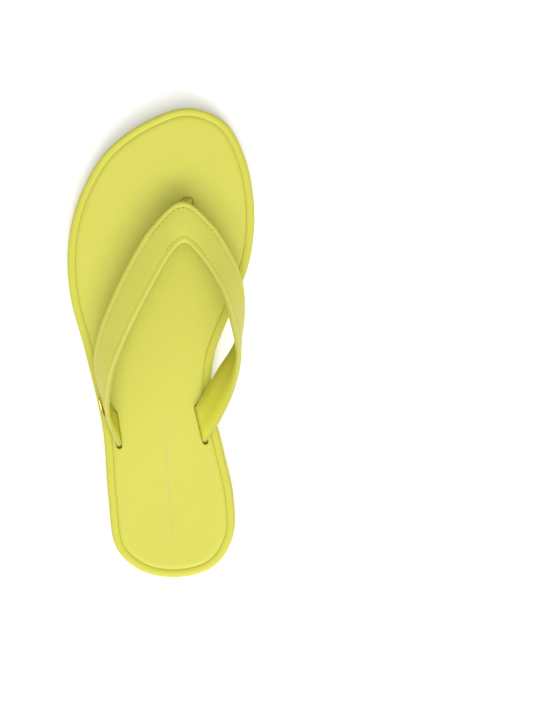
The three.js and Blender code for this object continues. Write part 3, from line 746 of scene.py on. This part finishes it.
LINING_PROFILE = [
    (0, 0.62, -1.13), (0, 2.25, -1.13), (0, 2.6, -0.45), (0.33, 0, -0.45), (0.66, 0, -0.45),
    (1, -2.6, -0.45), (1, -2.25, -1.13), (1, -0.62, -1.13), (1, -0.58, -1.3), (1, -0.75, -1.45),
    (0.66, 0, -1.45), (0.33, 0, -1.45), (0, 0.75, -1.45), (0, 0.58, -1.3),
]


def mark_painted_edge_shade(ply, profile):
    """Tells the finish where to paint shade on the ply's turned edge, by how far each point is round
    it: 0 on the top face and 1 from 0.55 mm below it. The two points that close the ply's ends come last."""
    edge_shade_share = smoothstep(UPPER_TOP, UPPER_TOP - 0.55, np.array(profile)[:, 2])
    rows = (len(ply.data.vertices) - 2) // len(profile)
    layer = ply.data.attributes.new("edge_shade_mask", "FLOAT", "POINT")
    layer.data.foreach_set("value", np.concatenate([np.tile(edge_shade_share, rows), [0, 0]]))


def seam_places(begin, finish, across_mm, from_rear, pitch):
    """Shares along the strap where the stitches of a row meet, a pitch apart."""
    fine = np.linspace(begin, finish, 400)
    line = strap_at(fine, across_mm, UPPER_TOP, from_rear)
    run = np.concatenate([[0], np.cumsum(np.linalg.norm(np.diff(line, axis=0), axis=1))])
    count = int(run[-1] // pitch)
    return np.interp(np.linspace(0, run[-1], count + 1), run, fine)


def stitch_row(name, begin, finish, across_mm, from_rear):
    """Lock stitches: each thread rises out of one needle hole, lies over the seam as a flat arch
    and goes down the next, so its height is a half sine raised to a low power."""
    pitch, radius, steps, around = 2.7, 0.27, 9, 7
    meets = seam_places(begin, finish, across_mm, from_rear, pitch)
    wander = np.random.default_rng(len(meets)).uniform(-0.07, 0.07, len(meets))
    share = np.linspace(0.05, 0.95, steps)
    arch = np.sin(math.pi * np.linspace(0, 1, steps)) ** 0.5
    along = meets[:-1, None] + share[None] * np.diff(meets)[:, None]
    rise = np.tile(UPPER_TOP - 0.5 + 0.42 * arch, (len(along), 1))
    across = across_mm + wander[:-1, None] * (1 - share) + wander[1:, None] * share
    line, normal = strap_frame(along.ravel(), across.ravel(), rise.ravel(), from_rear)
    line, normal = line.reshape(len(along), steps, 3), normal.reshape(len(along), steps, 3)
    side = unit(np.cross(np.gradient(line, axis=1), normal))
    turn = full_turn(around)
    ring = side[:, :, None] * np.cos(turn)[:, None] + normal[:, :, None] * np.sin(turn)[:, None]
    thick = radius * (0.55 + 0.45 * arch)[None, :, None, None]
    return small_copies(name, line[:, :, None] + ring * thick, line[:, [0, -1]]), meets


def needle_holes(name, meets, across_mm, from_rear):
    """A small dimple between stitches: a flat cone set in the seam's groove, dark with painted shade."""
    around, radius, depth = 8, 0.42, 0.25
    turn = full_turn(around)
    centre, normal = strap_frame(meets, across_mm, UPPER_TOP - 0.12, from_rear)
    side = unit(np.cross(normal, (0, 0, 1.0)) + (1e-6, 0, 0))  # not zero where the strap is level
    other = np.cross(normal, side)
    ring = side[:, None] * np.cos(turn)[:, None] + other[:, None] * np.sin(turn)[:, None]
    depths = np.array([-depth, 0.0])[None, :, None, None] * normal[:, None, None]
    tips = centre[:, None] + normal[:, None] * np.array([-depth, 0.02])[None, :, None]
    return small_copies(name, centre[:, None, None] + ring[:, None] * radius + depths, tips)


def emblem():
    """A plain oval plate that follows the strap: rings of one super-ellipse, with a raised border
    round a shallow dome, and a flat back just off the strap."""
    length, width = 11.7, 4.4
    middle, down = 0.055, 0.42
    strap, per_share = strap_scale(middle, down, 0.005)
    round_x, round_y = super_ellipse(1, 1, 56, power=0.8)
    base = UPPER_TOP + 0.25
    rings = [
        (0.96, 0), (1, 0.15), (1, 0.6), (0.97, 0.75), (0.93, 0.82), (0.87, 0.8), (0.83, 0.62), (0.8, 0.5),
        (0.55, 0.56), (0.25, 0.6),
    ]
    scale, height = (np.array(column)[:, None] for column in zip(*rings))
    along = middle + scale * length / 2 * round_x / per_share
    across = down * strap + scale * width / 2 * round_y
    points = strap_at(along.ravel(), across.ravel(), np.broadcast_to(base + height, along.shape).ravel())
    return swept("emblem_plate_oval", points.reshape(len(rings), -1, 3))


def toe_post():
    """The wrapped band from the footbed hole to the strap's underside. Its section is a rounded
    oblong carried up a line that bows forward, with the top ring laid against the strap. A channel
    pressed down its front, a bell curve across it, leaves a folded rib on both sides."""
    x, y = super_ellipse(BAND_WIDTH / 2, BAND_DEPTH / 2, 72)
    facing = smoothstep(0.2, 0.9, y / (BAND_DEPTH / 2))
    channel = 0.85 * facing * (1.25 * np.exp(-((x / 0.5) ** 2)) + 0.55 * smoothstep(1.7, 2.8, np.abs(x)))
    strap, per_share = strap_scale(APEX, POST_SEAT, 0.01)
    flare = 1.25  # the band spreads where it meets the strap
    under = -STRAP_THICKNESS / 2 - 0.1 - CROWN / 2
    seat = strap_at(APEX + flare * x / per_share, POST_SEAT * strap - flare * y, under)
    foot = np.column_stack([POST_FOOT[0] + x, POST_FOOT[1] + y, np.full(len(x), BOARD_BOTTOM + 0.1)])
    mouth = foot + (0, 0, FOOTBED - 0.3 - foot[0, 2])
    share = np.linspace(0, 1, 32)[1:, None, None]
    rings = mouth + (seat - mouth) * share
    middles = rings.mean(1, keepdims=True)
    bow = np.sin(math.pi * share)
    rings = middles + (rings - middles) * (1 - 0.1 * bow) + bow * np.array([0, 1.3, 0])
    rings[:, :, 1] -= smoothstep(-0.05, 0.2, share[:, :, 0]) * channel
    return swept("toe_post_band", np.concatenate([foot[None], mouth[None], rings]))


# ---- Materials ----


def colour(code):
    """An sRGB hex value as linear RGBA."""
    channels = [int(code[i : i + 2], 16) / 255 for i in (1, 3, 5)]
    linear = [c / 12.92 if c <= 0.04045 else ((c + 0.055) / 1.055) ** 2.4 for c in channels]
    return (*linear, 1.0)


def add_node(tree, kind, inputs=None, **settings):
    """Adds a shader node, sets its properties, and sets or links its inputs."""
    made = tree.nodes.new(kind)
    for name, value in settings.items():
        setattr(made, name, value)
    for name, value in (inputs or {}).items():
        if isinstance(value, bpy.types.NodeSocket):
            tree.links.new(value, made.inputs[name])
        else:
            made.inputs[name].default_value = value
    return made


def every(size):
    """The scale at which a pattern's features come about once in a size in millimetres."""
    return 1 / (size * MM)


def leather_grain(tree, place):
    """Plump cells 0.85 mm across with creases between them, and pores of 0.3 mm over them."""
    warp = add_node(tree, "ShaderNodeTexNoise", {"Vector": place, "Scale": every(2.5)})
    moved = add_node(
        tree, "ShaderNodeVectorMath", {0: warp.outputs["Color"], 1: (0.5 * MM,) * 3, 2: place},
        operation="MULTIPLY_ADD",
    )
    cells = add_node(
        tree, "ShaderNodeTexVoronoi", {"Vector": moved.outputs[0], "Scale": every(0.85)},
        feature="DISTANCE_TO_EDGE",
    )
    plump = add_node(
        tree, "ShaderNodeMapRange", {"Value": cells.outputs["Distance"], "From Max": 0.22},
        interpolation_type="SMOOTHSTEP",
    )
    pores = add_node(tree, "ShaderNodeTexNoise", {"Vector": place, "Scale": every(0.3), "Detail": 3.0})
    return add_node(
        tree, "ShaderNodeMath", {0: pores.outputs["Fac"], 1: 0.4, 2: plump.outputs["Result"]},
        operation="MULTIPLY_ADD",
    ).outputs[0]


def mould_texture(tree, place):
    """The even, shallow unevenness that a sandblasted mould leaves, about 0.6 mm across."""
    inputs = {"Vector": place, "Scale": every(0.6), "Detail": 5.0, "Roughness": 0.6}
    return add_node(tree, "ShaderNodeTexNoise", inputs).outputs["Fac"]


def foam_cells(tree, place):
    """Open cells about 0.6 mm across."""
    inputs = {"Vector": place, "Scale": every(0.6)}
    return add_node(tree, "ShaderNodeTexVoronoi", inputs).outputs["Distance"]


def pressed_fibres(tree, place):
    """Short fibres, five times as long as wide, lying along the sole."""
    drawn = add_node(tree, "ShaderNodeMapping", {"Vector": place, "Scale": (1, 0.2, 1)})
    inputs = {"Vector": drawn.outputs[0], "Scale": every(0.3), "Detail": 4.0}
    return add_node(tree, "ShaderNodeTexNoise", inputs).outputs["Fac"]


BANDS = 0.314  # a wave texture of scale 1 has this many metres from band to band


def crossed_threads(tree, place):
    """A plain weave: two sets of bands, 0.8 mm apart and square to each other, multiplied."""
    scale = BANDS / (0.8 * MM)
    warp = add_node(tree, "ShaderNodeTexWave", {"Vector": place, "Scale": scale}, bands_direction="X")
    weft = add_node(tree, "ShaderNodeTexWave", {"Vector": place, "Scale": scale}, bands_direction="Y")
    return add_node(
        tree, "ShaderNodeMath", {0: warp.outputs["Fac"], 1: weft.outputs["Fac"]}, operation="MULTIPLY"
    ).outputs[0]


def thread_twist(tree, place):
    """The slanting lay of a twisted thread, 0.35 mm from ply to ply."""
    inputs = {"Vector": place, "Scale": BANDS / (0.35 * MM)}
    return add_node(tree, "ShaderNodeTexWave", inputs, bands_direction="DIAGONAL").outputs["Fac"]


def polish_lines(tree, place):
    """Very fine lines left by a polishing wheel, drawn 0.15 mm apart so that they show at all."""
    drawn = add_node(tree, "ShaderNodeMapping", {"Vector": place, "Scale": (1, 0.08, 1)})
    inputs = {"Vector": drawn.outputs[0], "Scale": every(0.15), "Detail": 2.0}
    return add_node(tree, "ShaderNodeTexNoise", inputs).outputs["Fac"]


def finish(name, low, high, relief, depth_mm, gloss, drift_mm=18, edge=None, **shader_inputs):
    """A finish: its colour drifts slowly between two close values, its relief is a bump of a depth
    in millimetres, and its roughness wanders between the two values of gloss. A ply's turned edge
    may take a darker colour of its own, which is painted shade."""
    made = bpy.data.materials.new(name)
    made.use_nodes = True
    tree = made.node_tree
    tree.nodes.clear()
    place = add_node(tree, "ShaderNodeTexCoord").outputs["Object"]
    drift = add_node(tree, "ShaderNodeTexNoise", {"Vector": place, "Scale": every(drift_mm), "Detail": 3.0})
    # a colour mix has its colour sockets, 6 and 7, after those for numbers and vectors
    tint = add_node(
        tree, "ShaderNodeMix", {"Factor": drift.outputs["Fac"], 6: colour(low), 7: colour(high)},
        data_type="RGBA",
    )
    # painted shade: a ply's turned edge is mixed towards the darker edge colour
    if edge:
        turned = add_node(tree, "ShaderNodeAttribute", attribute_name="edge_shade_mask")
        tint = add_node(
            tree, "ShaderNodeMix", {"Factor": turned.outputs["Fac"], 6: tint.outputs[2], 7: colour(edge)},
            data_type="RGBA",
        )
    bump = add_node(
        tree, "ShaderNodeBump", {"Height": relief(tree, place), "Strength": 0.6, "Distance": depth_mm * MM}
    )
    smudge = add_node(tree, "ShaderNodeTexNoise", {"Vector": place, "Scale": every(7), "Detail": 4.0})
    ends = {"From Min": 0.3, "From Max": 0.7, "To Min": gloss[0], "To Max": gloss[1]}
    rough = add_node(tree, "ShaderNodeMapRange", {"Value": smudge.outputs["Fac"]} | ends)
    inputs = {
        "Base Color": tint.outputs[2],
        "Normal": bump.outputs["Normal"],
        "Roughness": rough.outputs["Result"],
    }
    shader = add_node(tree, "ShaderNodeBsdfPrincipled", inputs | shader_inputs)
    add_node(tree, "ShaderNodeOutputMaterial", {"Surface": shader.outputs["BSDF"]})
    return made


def dress(piece, made):
    """Gives a piece one finish in all its material slots."""
    piece.data.materials.clear()
    piece.data.materials.append(made)


SATIN = {"Coat Weight": 0.04, "Coat Roughness": 0.6, "Specular IOR Level": 0.22}
MATT = {"Specular IOR Level": 0.18}

# polyurethane-coated leatherette, embossed: a soft satin with a faint grain, with painted shade on its
# turned edge
strap_leatherette = finish(
    "embossed leatherette strap", "#B9B74B", "#BCBA4F", leather_grain, 0.03, (0.5, 0.6), edge="#A3A14C",
    **SATIN
)
# the same sheet on the inside, uncoated: matt, and a little deeper in colour, which is painted shade of the
# strap's inner faces
lining_leatherette = finish(
    "uncoated leatherette lining", "#B5B335", "#B9B739", leather_grain, 0.03, (0.56, 0.66), **MATT
)
# softer leatherette over foam: nearly matt, with a flatter grain
footbed_leatherette = finish(
    "padded leatherette footbed", "#B2B045", "#B5B349", leather_grain, 0.022, (0.5, 0.6), **SATIN
)
# compression-moulded EVA: matt, with the mould's fine texture
moulded_eva = finish(
    "moulded EVA foam tray", "#B2B042", "#B5B346", mould_texture, 0.04, (0.56, 0.66), **MATT
)
# pressed rubber: a shade deeper, a little harder in its shine
pressed_rubber = finish(
    "pressed rubber outsole", "#A7A52A", "#ABA92E", mould_texture, 0.05, (0.5, 0.62), IOR=1.52
)
# latex foam: open cells, no shine at all
latex_foam = finish("latex foam", "#A9A558", "#B1AD62", foam_cells, 0.2, (0.85, 0.95), 9)
# pressed cellulose board: brown, dull, with short fibres
cellulose_board = finish(
    "pressed cellulose board", "#B59C74", "#C2AB85", pressed_fibres, 0.06, (0.8, 0.9), 9
)
# woven polyester tape: off-white, the weave stands up
woven_tape = finish("woven polyester tape", "#E4E1D4", "#EDEBE0", crossed_threads, 0.12, (0.7, 0.85), 9)
# bonded polyester thread: a slight sheen along its twist
bonded_thread = finish(
    "bonded polyester thread", "#A9A72C", "#B1AF34", thread_twist, 0.04, (0.5, 0.6), **{"Sheen Weight": 0.1}
)
# the punched leatherette inside a needle hole, dark with painted shade, and dull
needle_hole_shade = finish("needle hole painted shade", "#5E5A0E", "#6A6614", mould_texture, 0.01, (0.75, 0.85))
# natural nylon, injection moulded: milky, with an even dull shine
moulded_nylon = finish("moulded nylon", "#C4C4BE", "#CECEC8", mould_texture, 0.02, (0.4, 0.5), IOR=1.53)
# drawn steel: grey, drawn lines
drawn_steel = finish(
    "drawn steel tack", "#A9ADB2", "#B6BABF", polish_lines, 0.01, (0.3, 0.42), Metallic=1.0
)
# gold-tone plating, polished: a warm mirror with soft lines
gold_plating = finish(
    "polished gold-tone plating", "#C79C52", "#D2A961", polish_lines, 0.003, (0.18, 0.26), 6, Metallic=1.0
)
# hot-stamped foil: thin, partly rubbed, less bright than the plate
stamped_foil = finish(
    "hot-stamped foil", "#B49E62", "#C0AA6E", leather_grain, 0.02, (0.55, 0.65), 2, Metallic=0.3
)

# ---- Making the object ----

rubber = outsole()
tray = midsole()
cover, foam, board = footbed_pieces()
for piece, material, layer, slot in [
    (rubber, pressed_rubber, "outsole", "outsole_rubber"),
    (tray, moulded_eva, "midsole", "midsole_foam"),
    (cover, footbed_leatherette, "footbed_cover", "footbed_cover"),
    (foam, latex_foam, "footbed_foam", "footbed_foam"),
    (board, cellulose_board, "insole_board", "insole_board"),
]:
    dress(piece, material)
    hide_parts(f"{layer}_heel", f"{layer}_forefoot")
    bend(piece, *SOLE_BEND)

marks = foil_marks()
dress(marks, stamped_foil)
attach(marks, "heel")

upper = strap_ply("strap_upper_turned", UPPER_PROFILE)
mark_painted_edge_shade(upper, UPPER_PROFILE)
tape = strap_ply("strap_tape", TAPE_PROFILE)
lining = strap_ply("strap_lining_leatherette", LINING_PROFILE)
outer_row, outer_meets = stitch_row("outer_row_stitches", *OUTER_SEAM, OUTER_SEAM_INSET, False)
inner_row, inner_meets = stitch_row("inner_row_stitches", *NOTCH_SEAM, NOTCH_SEAM_INSET, True)
outer_holes = needle_holes("outer_row_needle_holes", outer_meets, OUTER_SEAM_INSET, False)
inner_holes = needle_holes("inner_row_needle_holes", inner_meets, NOTCH_SEAM_INSET, True)
for piece, material, node, slot in [
    (upper, strap_leatherette, "strap_upper", "strap_upper"),
    (tape, woven_tape, "strap_reinforcement_tape", "reinforcement_tape"),
    (lining, lining_leatherette, "strap_lining", "strap_lining"),
    (outer_row, bonded_thread, "outer_apex_stitching", "stitching_thread"),
    (inner_row, bonded_thread, "inner_apex_stitching", "stitching_thread"),
    (outer_holes, needle_hole_shade, None, "strap_upper"),
    (inner_holes, needle_hole_shade, None, "strap_upper"),
]:
    dress(piece, material)
    if node:
        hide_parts(node)
    bend(piece, *STRAP_BEND)

plate = emblem()
dress(plate, gold_plating)
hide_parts("emblem_plate")
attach(plate, "heel")

post = toe_post()
dress(post, strap_leatherette)
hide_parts("toe_post_cover", "toe_post_core")
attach(post, "forefoot")

# the CAD's own parts that stay, all of them inside the sole
INSIDE = {
    "tack": drawn_steel, "washer": moulded_nylon, "plug": moulded_nylon, "anchor_tab": lining_leatherette,
}
for name, part in frame["nodes"].items():
    for word, material in INSIDE.items():
        if word in name:
            dress(part, material)

# ---- Floor, lights and camera ----


def white_floor():
    """A white square, six metres wide."""
    mesh = bpy.data.meshes.new("floor")
    corners = [(-3, -3, 0), (3, -3, 0), (3, 3, 0), (-3, 3, 0)]
    mesh.from_pydata(corners, [], [(0, 1, 2, 3)])
    floor = bpy.data.objects.new("floor", mesh)
    bpy.context.scene.collection.objects.link(floor)
    made = bpy.data.materials.new("white paper floor")
    made.use_nodes = True
    shader = made.node_tree.nodes["Principled BSDF"]
    shader.inputs["Base Color"].default_value = (0.95, 0.95, 0.95, 1)
    shader.inputs["Roughness"].default_value = 0.9
    shader.inputs["Specular IOR Level"].default_value = 0.1
    floor.data.materials.append(made)


def soft_box(name, place, size, watts):
    """A rectangular lamp aimed at the sandal, its long side across."""
    light = bpy.data.lights.new(name, "AREA")
    light.shape = "RECTANGLE"
    light.size, light.size_y = size
    light.energy = watts
    lamp = bpy.data.objects.new(name, light)
    lamp.location = place
    lamp.rotation_euler = (-Vector(place)).to_track_quat("-Z", "Y").to_euler()
    bpy.context.scene.collection.objects.link(lamp)


def studio():
    """A white tent, brightest overhead and towards the heel, and two soft boxes."""
    world = bpy.data.worlds.new("studio tent")
    world.use_nodes = True
    tree = world.node_tree
    tree.nodes.clear()
    way = add_node(tree, "ShaderNodeTexCoord").outputs["Generated"]
    brightest = (0.05, -0.45, 0.89)
    facing = add_node(tree, "ShaderNodeVectorMath", {0: way, 1: brightest}, operation="DOT_PRODUCT")
    level = add_node(
        tree, "ShaderNodeMath", {0: facing.outputs["Value"], 1: 0.45, 2: 0.6}, operation="MULTIPLY_ADD"
    )
    back = add_node(tree, "ShaderNodeBackground", {"Strength": level.outputs[0]})
    add_node(tree, "ShaderNodeOutputWorld", {"Surface": back.outputs[0]})
    bpy.context.scene.world = world
    soft_box("overhead box", (0.1, -0.5, 2.5), (1.6, 1.6), 30)
    soft_box("long box beyond the heel", (0.45, -2.5, 2.8), (3.6, 1.2), 118)


def camera():
    """Straight above the pair's middle, so the left shoe sits left of the picture's centre."""
    lens = bpy.data.cameras.new("camera")
    lens.sensor_width = 36
    lens.lens = 180.5
    lens.clip_end = 20
    view = bpy.data.objects.new("camera", lens)
    view.location = (0.060, -0.0095, 2.0)
    bpy.context.scene.collection.objects.link(view)
    bpy.context.scene.camera = view


white_floor()
studio()
camera()
bpy.context.scene.view_settings.view_transform = "Standard"
